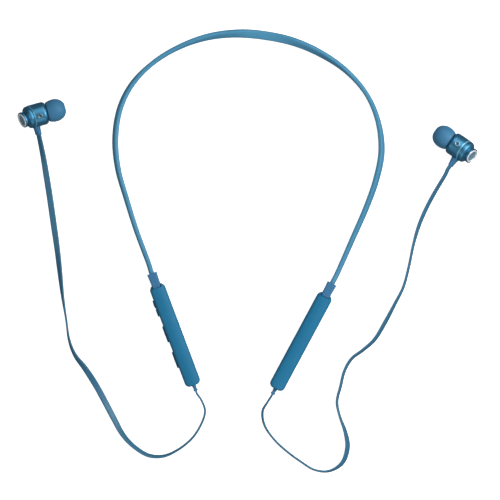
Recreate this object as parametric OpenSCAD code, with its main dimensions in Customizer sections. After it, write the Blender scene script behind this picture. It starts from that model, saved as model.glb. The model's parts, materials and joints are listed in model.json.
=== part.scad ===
// Neckband earphones lying flat: a silicone neckband, a control stem and a battery stem,
// two flat cables and two metal earbuds. Millimetres, the set rests on z = 0,
// +Y points to the back of the neck and +X to the wearer's battery side.

/* [Neckband] */
// Width of the band across its broad face
band_w = 4.9; // [4.4:0.1:5.1]
// Thickness of the band
band_t = 2.7; // [2.4:0.1:2.8]
// Width of the wire channel inside the band
channel_w = 2.3; // [1.8:0.1:2.6]
// Height of the wire channel inside the band
channel_t = 1.1; // [0.9:0.1:1.3]

/* [Stems] */
// Length of a stem body
stem_l = 59.4; // [58:0.1:61]
// Width of a stem across its front face
stem_w = 8.7; // [8.6:0.1:9]
// Depth of a stem, from its flat back to the crown of its front face
stem_d = 8; // [7.9:0.1:8.4]
// Wall thickness of the stem shells
wall = 1; // [0.9:0.05:1]
// Length of the silicone sleeve that stands out of a stem
sleeve_out = 6.4; // [5:0.1:7]
// Length of the small cable boot that stands out of a stem
stem_boot_out = 3.1; // [2:0.1:4]

/* [Keys] */
// Length of one key along the stem
key_l = 9.3; // [8.5:0.1:9.5]
// Height of one key
key_h = 3.6; // [3:0.1:3.8]
// How far a key stands out of the stem's side
key_proud = 0.75; // [0.6:0.05:1]
// How far a key can be pressed
key_travel = 0.3; // [0.2:0.05:0.3]

/* [Charging port] */
// Place of the port along the stem, from the stem's middle
port_y = 9.1; // [8.9:0.1:9.3]
// Length of the port cover along the stem
cover_l = 9.6; // [9.2:0.1:9.6]
// Height of the port cover
cover_h = 3.2; // [3:0.1:3.4]

/* [Earbuds] */
// Outer radius of the metal barrel
barrel_r = 6.35; // [6.2:0.05:6.5]
// Largest radius of the silicone eartip
tip_r = 6.25; // [6:0.05:6.5]
// Length of the silicone eartip
tip_l = 10.2; // [9.8:0.1:10.4]
// Cant of the rear cup against the barrel's axis, in degrees
cup_cant = 24; // [20:1:26]
// Cant of the bell and its seam against the barrel's axis, in degrees
bell_cant = 14; // [10:1:15]
// How far an eartip slides off its nozzle
tip_travel = 4.5; // [3:0.5:5]

/* [Cables] */
// Width of the flat cable
cable_w = 3.5; // [3:0.1:3.6]
// Thickness of the flat cable
cable_t = 1.2; // [1:0.1:1.4]

/* [Hidden] */
$fn = 48;
gap = 0.05;          // clearance between pieces that are fixed together
run = 0.12;          // clearance round a piece that moves
split_z = 4;         // height of the joint plane of the stem shells
LEFT = 0;
RIGHT = 1;

// Stem middle on the table, and turn about Z, for the left and the right stem
stem_at = [[-40.2, -67.2], [29.15, -70.75]];
stem_turn = [20.6, -28.3];

key_y = [17.1, 2, -13.1];   // key middles along the stem
board_z = 2.2;                  // underside of the control board
board_t = 0.8;
board_top = board_z + board_t;
side_x = stem_w / 2;            // half width of a stem
inner_x = side_x - wall;        // half width of the hollow
end_y = stem_l / 2;             // half length of a stem
sleeve_w = 5.2;
sleeve_in = 2.2;                // how deep the sleeve's tongue reaches into the shell
boot_w = 2.3;
boot_h = 4.4;
port_z = board_top + 1.3;       // middle height of the port
lip = 0.45;                     // thickness of the lip between the shells
plunger_x = inner_x - 1;        // reach of the switch plungers, drawn pressed
rest = 0.05;                    // height of the band and the cables above the table

// Stations along an earbud's axis, from the rear cup's pivot side (0) to the tip
waist_s = 2.3;
bell_s = 5.7;
barrel_s = 6.05;
seam_s = 5.9;                   // pivot of the bell's cant, in the middle of the seam
front_s = 14.9;
tip_s = 15.1;
nozzle_s = 20.2;
belly_s = tip_s + 4;            // where the eartip is widest
boot_s = 7.6;                   // cable boot, across the seam of bell and barrel
boot_end = 11;                  // radial reach of the boot's end
vent_s = 10.6;
vent_turn = 10;                 // turn of the vent away from the boot
cup_turn = 5;                   // turn of the cants towards the boot
waist_r = 4;
bell_r = 6.25;
nozzle_r = 2.5;
lip_r = 2.75;
seat_r = barrel_r - 0.7;        // inside radius of the barrel
neck_r = seat_r - 0.65;         // inside radius of the bell's spigot
cup_r = 4.45;
cup_floor = 0.95;               // depth stations of the rear cup along its own axis
cup_rim = 2.1;
ring_r = 3.88;
ring_in = 2.9;

// Rear cup middle, turn about Z, tail-up pitch and dip of the boot, left and right
bud_at = [[-124.8, 51.1], [123.55, 30.6]];
bud_turn = [15.2, 145.4];
bud_pitch = [6, 7];
bud_dip = [21, 3];
bud_hand = [1, -1];
bud_rest = 0.05;                // height of the eartip above the table

silicone = [0.16, 0.42, 0.58];
soft_shell = [0.18, 0.44, 0.6];
metal_blue = [0.12, 0.45, 0.6];

// ---------- Outlines and sweeps ----------

// Points of an arc about (x, y)
function arc(x, y, r, from, to, n = 6) =
    [for (i = [0 : n]) let (a = from + (to - from) * i / n) [x + r * cos(a), y + r * sin(a)]];

// Rectangle w by l about the origin, with corner radii at its +Y and -Y ends
function rounded(w, l, r_top, r_low) = concat(
    arc(w / 2 - r_top, l / 2 - r_top, r_top, 0, 90),
    arc(-w / 2 + r_top, l / 2 - r_top, r_top, 90, 180),
    arc(-w / 2 + r_low, -l / 2 + r_low, r_low, 180, 270),
    arc(w / 2 - r_low, -l / 2 + r_low, r_low, 270, 360));

// Soft-cornered section of a band or cable, w by t
function soft_power(v, p) = sign(v) * pow(abs(v), p);
function section(w, t, n = 12) =
    [for (i = [0 : n - 1]) let (a = 360 * i / n)
        [w / 2 * soft_power(cos(a), 0.6), t / 2 * soft_power(sin(a), 0.6)]];

// Half the height of a section that is rolled about its middle
function half_height(outline, roll) = max([for (p = outline) p[0] * sin(roll) + p[1] * cos(roll)]);

// Route points are [x, y, clear height under the section, roll]
function beyond(route, i) =
    i < 0 ? 2 * route[0] - route[1] :
    i >= len(route) ? 2 * route[len(route) - 1] - route[len(route) - 2] : route[i];
function spline(a, b, c, d, t) =
    0.5 * (2 * b + (c - a) * t + (2 * a - 5 * b + 4 * c - d) * t * t
        + (3 * b - a - 3 * c + d) * t * t * t);
function dense(route, steps) = concat(
    [for (i = [0 : len(route) - 2], k = [0 : steps - 1])
        spline(beyond(route, i - 1), route[i], route[i + 1], beyond(route, i + 2), k / steps)],
    [route[len(route) - 1]]);
function middles(line, outline) =
    [for (p = line) [p[0], p[1], p[2] + rest + half_height(outline, p[3])]];
function unit(v) = v / norm(v);

// One ring of the sweep: the outline set square to the route and rolled
function ring(at, i, outline, roll) =
    let (n = len(at),
        ahead = unit(at[min(i + 1, n - 1)] - at[max(i - 1, 0)]),
        side = unit(cross([0, 0, 1], ahead)),
        up = cross(ahead, side))
    [for (p = outline) at[i]
        + side * (p[0] * cos(roll) - p[1] * sin(roll))
        + up * (p[0] * sin(roll) + p[1] * cos(roll))];

// Triangles between ring i and ring i + 1, whose points start at `first`
function skin(i, n, first, flip) =
    [for (k = [0 : n - 1]) let (
            a = first + i * n + k, b = first + i * n + (k + 1) % n,
            c = b + n, d = a + n)
        each (flip ? [[a, c, b], [a, d, c]] : [[a, b, c], [a, c, d]])];

// Solid swept along a line of route points
module sweep(line, place, outline) {
    at = middles(line, place);
    n = len(outline);
    m = len(line);
    points = [for (i = [0 : m - 1]) each ring(at, i, outline, line[i][3])];
    polyhedron(points, concat([for (i = [0 : m - 2]) each skin(i, n, 0, true)],
        [[for (k = [0 : n - 1]) k]], [[for (k = [n - 1 : -1 : 0]) (m - 1) * n + k]]));
}

// Tube swept along a line of route points, with a channel of the same number of sides
module sweep_tube(line, outline, channel) {
    at = middles(line, outline);
    n = len(outline);
    m = len(line);
    total = n * m;
    points = concat(
        [for (i = [0 : m - 1]) each ring(at, i, outline, line[i][3])],
        [for (i = [0 : m - 1]) each ring(at, i, channel, line[i][3])]);
    last = (m - 1) * n;
    ends = [for (k = [0 : n - 1]) let (j = (k + 1) % n)
        each [[k, j, total + j], [k, total + j, total + k],
            [last + k, total + last + j, last + j],
            [last + k, total + last + k, total + last + j]]];
    polyhedron(points, concat(
        [for (i = [0 : m - 2]) each skin(i, n, 0, true)],
        [for (i = [0 : m - 2]) each skin(i, n, total, false)], ends));
}

// ---------- Places ----------

module on_stem(which) {
    translate([stem_at[which][0], stem_at[which][1], 0]) rotate([0, 0, stem_turn[which]]) children();
}
// A point of a stem's middle line as a route point
function stem_point(which, y, lift, roll) = [
    stem_at[which][0] - y * sin(stem_turn[which]),
    stem_at[which][1] + y * cos(stem_turn[which]), lift, roll];

// Height of the rear cup's middle, so that the eartip just clears the table
function tail_z(which) = bud_rest + tip_r + belly_s * sin(bud_pitch[which]);
module on_bud(which) {
    translate([bud_at[which][0], bud_at[which][1], tail_z(which)])
        rotate([0, 0, bud_turn[which]]) rotate([0, bud_pitch[which], 0])
            rotate([bud_hand[which] * bud_dip[which], 0, 0]) children();
}
// The same place as a function: turns a point of the earbud's frame into the set's frame
function about_x(p, a) = [p[0], p[1] * cos(a) - p[2] * sin(a), p[1] * sin(a) + p[2] * cos(a)];
function about_y(p, a) = [p[0] * cos(a) + p[2] * sin(a), p[1], -p[0] * sin(a) + p[2] * cos(a)];
function about_z(p, a) = [p[0] * cos(a) - p[1] * sin(a), p[0] * sin(a) + p[1] * cos(a), p[2]];
function bud_point(which, p) =
    [bud_at[which][0], bud_at[which][1], tail_z(which)]
    + about_z(about_y(about_x(p, bud_hand[which] * bud_dip[which]), bud_pitch[which]),
        bud_turn[which]);
// A point on the middle of the cable boot, `reach` from the barrel's axis, as a route point
function boot_point(which, reach, roll) =
    let (p = bud_point(which, [boot_s, -bud_hand[which] * reach, 0]))
    [p[0], p[1], p[2] - rest - half_height(cable_outline, roll), roll];

// Turns a shape made about Z so that its axis lies along the earbud
module along_bud() { rotate([0, 90, 0]) children(); }
// Turns a shape made about Z so that it stands out where the cable boot does
module along_boot(which) {
    translate([boot_s, 0, 0]) rotate([90 * bud_hand[which], 0, 0]) children();
}
// Turns a shape made about Z so that it stands out where the vent is
module along_vent(which) {
    translate([vent_s, 0, 0]) rotate([-vent_turn * bud_hand[which], 0, 0]) children();
}
// Turns a shape made about Z so that it points out of the canted rear cup
// Leans the bell, its seam and its cup back against the barrel's axis
module on_bell(which) {
    translate([seam_s, 0, 0]) rotate([cup_turn * bud_hand[which], 0, 0])
        rotate([0, bell_cant, 0]) translate([-seam_s, 0, 0]) children();
}
module along_cup(which) {
    on_bell(which) translate([waist_s, 0, 0]) rotate([0, cup_cant - bell_cant - 90, 0]) children();
}

// ---------- Routes ----------

band_outline = section(band_w, band_t);
channel_outline = section(channel_w, channel_t);
wire_outline = section(channel_w - 0.2, channel_t - 0.2);
cable_outline = section(cable_w, cable_t, 8);
stem_roll = 96;                       // roll of the band where it enters a sleeve
band_lift = split_z - rest - half_height(band_outline, stem_roll);
cable_lift = split_z - rest - cable_w / 2;
band_start = end_y - 2.2;             // where the band ends inside a stem
wire_start = end_y - 5.7;             // where the wires end inside a stem

function sleeve_line(which) = [
    stem_point(which, band_start, band_lift, stem_roll),
    stem_point(which, band_start + 5, band_lift, stem_roll),
    stem_point(which, band_start + 10, band_lift, stem_roll)];
function reversed(list) = [for (i = [len(list) - 1 : -1 : 0]) list[i]];

band_route = concat(sleeve_line(LEFT), [
    [-55, -27, 0.9, 96], [-61.5, -9.5, 0.2, 98], [-67, 8, 0, 102], [-71.5, 24, 0, 107],
    [-73, 40.5, 0, 111], [-70.5, 57, 0, 111], [-63.5, 71, 0, 105], [-52, 82.5, 0, 92],
    [-38, 91, 0, 83], [-22.5, 96.5, 0, 64], [-6.5, 98.5, 0, 42], [9, 97.5, 0, 8],
    [25, 94, 0, 38], [40, 87.5, 0, 57], [54, 78, 0, 78], [65, 65.5, 0, 92],
    [71.5, 50.5, 0, 102], [73.5, 34, 0, 115], [70.5, 18, 0, 113], [65, 2.5, 0, 108],
    [58.2, -13, 0.2, 103], [49.7, -32.2, 0.9, 97]],
    reversed(sleeve_line(RIGHT)));
wire_route = concat([stem_point(LEFT, wire_start, band_lift, stem_roll)], band_route,
    [stem_point(RIGHT, wire_start, band_lift, stem_roll)]);

left_cable_route = concat([
    stem_point(LEFT, -end_y - stem_boot_out, cable_lift, 90),
    stem_point(LEFT, -end_y - stem_boot_out - 2, cable_lift, 90)], [
    [-25.5, -103.4, 1.7, 90], [-23.6, -109.5, 0.8, 90], [-26, -117, 0.2, 90], [-31, -124.5, 0, 88],
    [-38.5, -130.5, 0, 85], [-46.5, -134, 0, 74], [-55, -133.5, 0, 64], [-63, -128.5, 0, 58],
    [-69, -122, 0, 46], [-74, -113, 0, 28], [-79, -103.5, 0, 16], [-84, -94.5, 0, 4],
    [-89.5, -86, 0, -28], [-95.2, -78.4, 0, -58], [-98.4, -70, 0, -76], [-100, -59, 0, -88],
    [-102, -46, 0, -68], [-103.5, -33, 0, -45], [-105, -20, 0, -30], [-107, -6, 0, -16],
    [-109, 8, 0, -12], [-110.9, 20, 0.1, -18], [-112.7, 31, 0.8, -34]], [
    boot_point(LEFT, boot_end + 3, -45),
    boot_point(LEFT, boot_end, -45)]);

right_cable_route = concat([
    stem_point(RIGHT, -end_y - stem_boot_out, cable_lift, 90),
    stem_point(RIGHT, -end_y - stem_boot_out - 1.5, cable_lift, 90)], [
    [10.8, -104.2, 1.5, 88], [8, -109.6, 0.7, 82], [9.2, -117.2, 0.1, 84], [14.5, -125, 0, 90],
    [21.5, -131.5, 0, 90], [29, -137, 0, 90], [36.5, -141.5, 0, 88], [44.8, -142.2, 0, 78],
    [52, -137.6, 0, 56], [54.8, -129, 0, 48], [53.5, -120.5, 0, 64], [50.5, -112, 0, 80],
    [49, -104, 0, 76], [51, -95.5, 0, 74], [53, -87.5, 0, 72], [57, -80.5, 0, 70],
    [63.5, -75.5, 0, 68], [70, -69.5, 0, 62], [76, -59.5, 0, 58], [81, -50, 0, 68],
    [85.5, -41, 0, 75], [88.5, -30, 0, 76], [91, -18, 0, 74], [94, -7.5, 0, 62],
    [98, 2, 0.3, 60], [103, 11.5, 1.5, 60], [108, 20, 3.9, 60]], [
    boot_point(RIGHT, boot_end + 2.5, 60),
    boot_point(RIGHT, boot_end, 60)]);

// ---------- Neckband ----------

module neckband() {
    color(silicone) sweep_tube(dense(band_route, 3), band_outline, channel_outline);
}
module band_wires() {
    color("goldenrod") sweep(dense(wire_route, 3), band_outline, wire_outline);
}

// ---------- Stems ----------

// Cross-section of a stem: flat back, soft corners, gently crowned front face
module stem_section() {
    back_r = 1.6;
    front_r = 2.2;
    crown_r = 9;
    corner_x = side_x - front_r;
    rise = sqrt(pow(crown_r - front_r, 2) - pow(corner_x, 2));
    corner_z = stem_d - crown_r + rise;
    meet = atan2(rise, corner_x);
    polygon(concat(
        arc(side_x - back_r, back_r, back_r, -90, 0),
        arc(corner_x, corner_z, front_r, 0, meet),
        arc(0, stem_d - crown_r, crown_r, meet + 4, 176 - meet),
        arc(-corner_x, corner_z, front_r, 180 - meet, 180),
        arc(-side_x + back_r, back_r, back_r, 180, 270)));
}
// Outer form of a stem
module stem_form() {
    intersection() {
        linear_extrude(stem_d) polygon(rounded(stem_w, stem_l, 3.2, 2.6));
        translate([0, end_y, 0]) rotate([90, 0, 0]) linear_extrude(stem_l) stem_section();
    }
}
// Hollow outline of a stem, grown by g
module hollow(g = 0) {
    polygon(rounded(2 * inner_x + 2 * g, stem_l - 2 * wall + 2 * g, 2.2, 1.8));
}
module stem_hollow() { translate([0, 0, wall]) linear_extrude(stem_d - 2 * wall) hollow(); }

// Openings in both shells for the sleeve and the cable boot
module end_openings() {
    translate([-sleeve_w / 2 - gap, end_y - sleeve_in - gap, wall])
        cube([sleeve_w + 2 * gap, sleeve_in + 1, stem_d]);
    translate([-boot_w / 2 - gap, -end_y - 1, split_z - boot_h / 2 - gap])
        cube([boot_w + 2 * gap, wall + 1.5, boot_h + 2 * gap]);
}
// Openings of the control stem: keys, charging port, light pipe
module control_openings() {
    for (y = key_y)
        translate([-side_x - 1, y - key_l / 2 - run, split_z - key_h / 2 - run])
            cube([wall + 1.1, key_l + 2 * run, key_h + 2 * run]);
    translate([side_x - 0.7, port_y - cover_l / 2 - 0.15, port_z - cover_h / 2 - run])
        cube([2, cover_l + 0.25, cover_h + 2 * run]);
    translate([inner_x - 0.1, port_y - 3.5, port_z - 1.15]) cube([1, 7, 2.3]);
    translate([0, -14, split_z]) rotate([0, 90, 0]) cylinder(r = 0.8, h = side_x + 1);
}

module front_shell(which) {
    color(soft_shell) on_stem(which) difference() {
        stem_form();
        stem_hollow();
        translate([-10, -50, -1]) cube([20, 100, split_z + 1]);
        translate([0, 0, split_z - 1]) linear_extrude(1 + 0.7) hollow(lip + gap);
        end_openings();
        if (which == LEFT) control_openings();
    }
}
module rear_shell(which) {
    color(soft_shell) on_stem(which) difference() {
        union() {
            intersection() {
                stem_form();
                translate([-10, -50, -1]) cube([20, 100, split_z + 1]);
            }
            translate([0, 0, split_z - 0.5]) linear_extrude(0.5 + 0.6) hollow(lip);
        }
        stem_hollow();
        end_openings();
        if (which == LEFT) {
            control_openings();
            translate([0, 20, -1]) cylinder(r = 0.45, h = 3);
        }
    }
}

// Square sleeve with a tongue in the shell, a flange behind it and a slot for the band
module top_sleeve(which) {
    hand = which == LEFT ? 1 : -1;
    tongue_y = end_y - sleeve_in;
    slot = [for (p = section(band_w + 0.12, band_t + 0.12))
        [-hand * (p[0] * cos(stem_roll) - p[1] * sin(stem_roll)),
            p[0] * sin(stem_roll) + p[1] * cos(stem_roll)]];
    color(silicone) on_stem(which) difference() {
        union() {
            translate([-sleeve_w / 2, tongue_y, wall + gap])
                cube([sleeve_w, sleeve_in + sleeve_out, 6.2]);
            translate([-sleeve_w / 2 - 0.4, tongue_y - 1.1, wall + gap]) cube([sleeve_w + 0.8, 1, 5.9]);
            translate([-1.9, tongue_y - 0.3, wall + gap]) cube([3.8, 0.5, 5.9]);
        }
        translate([0, end_y + 20, split_z]) rotate([90, 0, 0]) linear_extrude(40) polygon(slot);
    }
}
// Small cable boot with a flange inside the shell
module bottom_boot(which) {
    color(silicone) on_stem(which) {
        translate([-boot_w / 2, -end_y - stem_boot_out, split_z - boot_h / 2])
            cube([boot_w, stem_boot_out + wall + 0.7, boot_h]);
        translate([-1.7, -end_y + wall + gap, split_z - boot_h / 2 - 0.3])
            cube([3.4, 0.6, boot_h + 0.6]);
    }
}

// Key: cap through the shell's window and a flange behind it
module key(i, notched = false) {
    cap_x = side_x + key_proud;
    depth = cap_x - inner_x + gap;
    color(soft_shell) on_stem(LEFT) difference() {
        union() {
            translate([-cap_x + depth / 2, key_y[i], split_z - key_h / 2])
                linear_extrude(key_h) polygon(rounded(depth, key_l, 0.35, 0.35));
            translate([-inner_x + gap, key_y[i] - key_l / 2 - 0.45, split_z - key_h / 2 - 0.45])
                cube([0.55, key_l + 0.9, key_h + 0.9]);
        }
        if (notched)
            translate([-cap_x - 0.1, key_y[i] - 0.4, 0]) cube([0.4, 0.8, stem_d]);
    }
}
module volume_up_button() { key(0, true); }
module play_button() { key(1); }
module volume_down_button() { key(2); }

// ---------- Electronics ----------

module control_board() {
    color("darkgreen") on_stem(LEFT) translate([0.15 - plunger_x, -23, board_z])
        cube([inner_x + plunger_x - 0.25, 46, board_t]);
}
module tact_switches() {
    color("gray") on_stem(LEFT) for (y = key_y) {
        translate([0.2 - plunger_x, y - 2.3, board_top + 0.02]) cube([2.35, 4.6, 2.4]);
        translate([-plunger_x, y - 0.8, split_z - 0.6]) cube([0.3, 1.6, 1.2]);
    }
}
module bluetooth_module() {
    color("silver") on_stem(LEFT) translate([-1.5, -9.2, board_top + 0.02]) cube([3.8, 6.2, 1.3]);
}
module antenna() {
    color("white") on_stem(LEFT) translate([1, 16, board_top + 0.02]) cube([1.6, 5, 1.1]);
}
module microphone() {
    color("gold") on_stem(LEFT) translate([0, 20, 1.2]) difference() {
        translate([-1.2, -1.4, 0]) cube([2.4, 2.8, 0.95]);
        translate([0, 0, -0.5]) cylinder(r = 0.3, h = 0.8);
    }
}
module status_led() {
    color("white") on_stem(LEFT) translate([0.2, -14.8, board_top + 0.02]) cube([1.1, 1.6, 1.6]);
}
module light_pipe() {
    color("lightblue") on_stem(LEFT) translate([1.4, -14, split_z]) rotate([0, 90, 0])
        cylinder(r = 0.75, h = side_x - 1.4);
}
module usb_socket() {
    depth = 4.9;
    color("silver") on_stem(LEFT) translate([inner_x - depth, port_y, port_z]) {
        difference() {
            translate([0, -3.7, -1.28]) cube([depth - gap, 7.4, 2.5]);
            translate([0.6, -3.45, -1]) cube([depth, 6.9, 2]);
        }
        translate([0.5, -1.75, -0.9]) cube([depth - 2, 3.5, 0.5]);
    }
}
// Flush cover: a plate in the shell's recess, with a lug in the socket's mouth
module usb_cover() {
    plate = 0.65;
    color(silicone) on_stem(LEFT) {
        translate([side_x - plate, port_y - cover_l / 2, port_z - cover_h / 2])
            cube([plate, cover_l, cover_h]);
        translate([side_x - 1.7, port_y - 3, port_z - 0.35]) cube([1.2, 6, 1]);
    }
}
module battery_cell() {
    color("lightgray") on_stem(RIGHT) translate([0, 3, 1.3])
        linear_extrude(5.4) polygon(rounded(2 * inner_x - 0.8, 40, 0.8, 0.8));
}
module protection_board() {
    color("darkgreen") on_stem(RIGHT) translate([-2.4, -26, 3.6]) cube([4.8, 8, 0.8]);
}

// ---------- Earbuds ----------

// Convex bell between the waist and the seam
function bell_radius(s) =
    waist_r + (bell_r - waist_r) * sin(90 * min(1, (s - waist_s) / (bell_s - 1.3 - waist_s)));
bell_steps = 8;

module rear_bell(which) {
    color(metal_blue) on_bud(which) difference() {
        union() {
            on_bell(which) along_bud() rotate_extrude() polygon(concat(
                [[0, waist_s]],
                [for (i = [0 : bell_steps]) let (s = waist_s + (bell_s - waist_s) * i / bell_steps)
                    [bell_radius(s), s]],
                [[0, bell_s]]));
            on_bell(which) translate([waist_s, 0, 0]) sphere(r = waist_r);
            along_cup(which) cylinder(r1 = waist_r - 0.15, r2 = cup_r, h = cup_floor - 0.05);
            along_cup(which) translate([0, 0, cup_floor - 0.05])
                cylinder(r = cup_r, h = cup_rim - cup_floor + 0.05);
            difference() {
                along_bud() translate([0, 0, 3]) cylinder(r = seat_r - gap, h = bell_s + 2.6 - 3);
                on_bell(which) along_bud() translate([0, 0, -6]) cylinder(r = 12, h = bell_s + 5);
            }
        }
        along_bud() rotate_extrude() polygon([[0, waist_s + 1.5], [3.2, waist_s + 1.5],
            [neck_r - 0.2, waist_s + 2.3], [neck_r, waist_s + 2.5], [neck_r, bell_s + 4],
            [0, bell_s + 4]]);
        along_cup(which) translate([0, 0, cup_floor]) cylinder(r = ring_r + gap, h = 4);
        along_boot(which) cylinder(r = 2.05, h = 10);
    }
}
module chrome_ring(which) {
    color("gainsboro") on_bud(which) along_cup(which) rotate_extrude() polygon(concat(
        [[ring_in, cup_floor + 0.02], [ring_r, cup_floor + 0.02], [ring_r, cup_rim - 0.15]],
        arc((ring_in + ring_r) / 2, cup_rim - 0.15, (ring_r - ring_in) / 2, 0, 180)));
}
module magnet_disc(which) {
    color("slategray") on_bud(which) along_cup(which) translate([0, 0, cup_floor + 0.02])
        cylinder(r = ring_in - gap, h = 0.9);
}
module barrel(which) {
    bend = 1.8;
    color(metal_blue) on_bud(which) difference() {
        along_bud() rotate_extrude() polygon(concat(
            [[seat_r, barrel_s - 3], [barrel_r, barrel_s - 3]],
            [for (i = [0 : 6]) let (a = 15 * i)
                [barrel_r - bend + bend * cos(a), front_s - bend + bend * sin(a)]],
            [[4.3, front_s], [4.3, front_s - 0.8], [seat_r, front_s - 1.6]]));
        on_bell(which) along_bud() translate([0, 0, barrel_s - 12]) cylinder(r = 12, h = 12);
        along_boot(which) cylinder(r = 2.05, h = 10);
        along_vent(which) cylinder(r = 1, h = 10);
    }
}
module vent_ring(which) {
    color("silver") on_bud(which) along_vent(which) difference() {
        union() {
            translate([0, 0, barrel_r + 0.02]) cylinder(r = 1.35, h = 0.15);
            translate([0, 0, seat_r + gap]) cylinder(r = 0.95, h = barrel_r - seat_r);
        }
        translate([0, 0, seat_r - 1]) cylinder(r = 0.5, h = 3);
    }
}
module front_housing(which) {
    color(metal_blue) on_bud(which) along_bud() rotate_extrude() polygon([
        [1.8, front_s - 2.6], [4.2, front_s - 2.6], [seat_r - gap, front_s - 2.4],
        [seat_r - gap, front_s - 1.8],
        [4.2, front_s - 0.9], [4.2, front_s + 0.2], [3, front_s + 0.3], [nozzle_r, front_s + 0.5],
        [nozzle_r, nozzle_s - 1], [lip_r, nozzle_s - 0.8], [lip_r, nozzle_s - 0.3],
        [nozzle_r, nozzle_s], [2.1, nozzle_s], [2.1, nozzle_s - 0.5], [1.8, nozzle_s - 0.5]]);
}
module nozzle_mesh(which) {
    color("dimgray") on_bud(which) along_bud() translate([0, 0, nozzle_s - 0.48])
        cylinder(r = 2.05, h = 0.25);
}
// Outline of the eartip's skin, from its base rim to the mouth
tip_skin = [[5, 0], [5.35, 0.3], [5.85, 1.5], [6.15, 2.8], [6.25, 4], [6.15, 5.3], [5.75, 6.7],
    [5, 8.1], [4, 9.1], [3, 9.75], [2.3, 10]];
module eartip(which) {
    scale_r = tip_r / 6.25;
    color(silicone) on_bud(which) along_bud() translate([0, 0, tip_s]) rotate_extrude()
        polygon(concat(
            [for (p = tip_skin) [p[0] * scale_r, p[1] * tip_l / 10]],
            [[2, tip_l], [2, 5.4], [2.85, 5.4], [2.85, 0.2], [3.5, 0.2], [3.5, 5.2], [4.6, 5.2],
                [5.4, 3.8], [5.2, 1.8], [4.4, 0]]));
}
module driver_frame(which) {
    color("dimgray") on_bud(which) along_bud() rotate_extrude() polygon([
        [1.2, 9.8], [4.4, 9.8], [seat_r - gap, 10.8], [seat_r - gap, front_s - 2.75],
        [4.6, front_s - 2.75],
        [4.6, 11], [4.1, 10.4], [1.2, 10.4]]);
}
module driver_magnet(which) {
    color("silver") on_bud(which) along_bud() translate([0, 0, 10.45]) cylinder(r = 3.2, h = 1.1);
}
module diaphragm(which) {
    color("gold") on_bud(which) along_bud() rotate_extrude() polygon([
        [0, 12.2], [1.8, 12], [3.4, 11.8], [4.5, 11.8], [4.5, 11.95], [3.4, 11.95], [1.8, 12.15],
        [0, 12.35]]);
}
module cable_boot(which) {
    color(silicone) on_bud(which) along_boot(which) {
        translate([0, 0, 3.5]) cylinder(r = 2.1, h = 0.6);
        translate([0, 0, 4]) cylinder(r = 1.95, h = 2.4);
        translate([0, 0, 6.4]) cylinder(r1 = 1.95, r2 = 1.8, h = boot_end - 6.4);
    }
}

module cable(route) { color(silicone) sweep(dense(route, 1), cable_outline, cable_outline); }

// ---------- Nodes ----------

neckband();
band_wires();

front_shell(LEFT);  // left_front_shell
rear_shell(LEFT);  // left_rear_shell
top_sleeve(LEFT);  // left_top_sleeve
bottom_boot(LEFT);  // left_bottom_boot
volume_up_button();
play_button();
volume_down_button();
control_board();
tact_switches();
bluetooth_module();
antenna();
microphone();
status_led();
light_pipe();
usb_socket();
usb_cover();

front_shell(RIGHT);  // right_front_shell
rear_shell(RIGHT);  // right_rear_shell
top_sleeve(RIGHT);  // right_top_sleeve
bottom_boot(RIGHT);  // right_bottom_boot
battery_cell();
protection_board();

eartip(LEFT);  // left_eartip
front_housing(LEFT);  // left_front_housing
nozzle_mesh(LEFT);  // left_nozzle_mesh
barrel(LEFT);  // left_barrel
rear_bell(LEFT);  // left_rear_bell
chrome_ring(LEFT);  // left_chrome_ring
magnet_disc(LEFT);  // left_magnet_disc
vent_ring(LEFT);  // left_vent_ring
driver_frame(LEFT);  // left_driver_frame
driver_magnet(LEFT);  // left_driver_magnet
diaphragm(LEFT);  // left_diaphragm
cable_boot(LEFT);  // left_cable_boot
cable(left_cable_route);  // left_cable

eartip(RIGHT);  // right_eartip
front_housing(RIGHT);  // right_front_housing
nozzle_mesh(RIGHT);  // right_nozzle_mesh
barrel(RIGHT);  // right_barrel
rear_bell(RIGHT);  // right_rear_bell
chrome_ring(RIGHT);  // right_chrome_ring
magnet_disc(RIGHT);  // right_magnet_disc
vent_ring(RIGHT);  // right_vent_ring
driver_frame(RIGHT);  // right_driver_frame
driver_magnet(RIGHT);  // right_driver_magnet
diaphragm(RIGHT);  // right_diaphragm
cable_boot(RIGHT);  // right_cable_boot
cable(right_cable_route);  // right_cable
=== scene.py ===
import json
import math

import bmesh
import bpy
from mathutils import Matrix, Vector


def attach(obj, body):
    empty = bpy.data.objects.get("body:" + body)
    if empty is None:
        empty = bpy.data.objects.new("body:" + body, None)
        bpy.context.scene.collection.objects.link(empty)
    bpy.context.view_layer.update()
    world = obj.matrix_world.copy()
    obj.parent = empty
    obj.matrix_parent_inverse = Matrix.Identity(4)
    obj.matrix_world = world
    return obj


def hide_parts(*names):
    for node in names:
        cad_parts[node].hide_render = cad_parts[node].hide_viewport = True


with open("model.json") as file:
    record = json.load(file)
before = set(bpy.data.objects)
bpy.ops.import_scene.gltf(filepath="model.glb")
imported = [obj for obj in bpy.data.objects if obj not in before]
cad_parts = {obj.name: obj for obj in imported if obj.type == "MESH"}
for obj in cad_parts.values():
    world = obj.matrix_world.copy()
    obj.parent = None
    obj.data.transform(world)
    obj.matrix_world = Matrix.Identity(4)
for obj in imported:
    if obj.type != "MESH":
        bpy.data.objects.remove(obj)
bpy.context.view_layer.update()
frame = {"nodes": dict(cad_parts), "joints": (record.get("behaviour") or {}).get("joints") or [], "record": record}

# Sizes are written in millimetres, as on a drawing; MM turns them into the frame's metres.
MM = 0.001
LEFT, RIGHT = 0, 1
SIDES = ("left", "right")
HEADSET = "headset"
mounts = {m["name"]: m for m in frame["record"]["mounts"]}
joints = {j["name"]: j for j in frame["joints"]}

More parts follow.
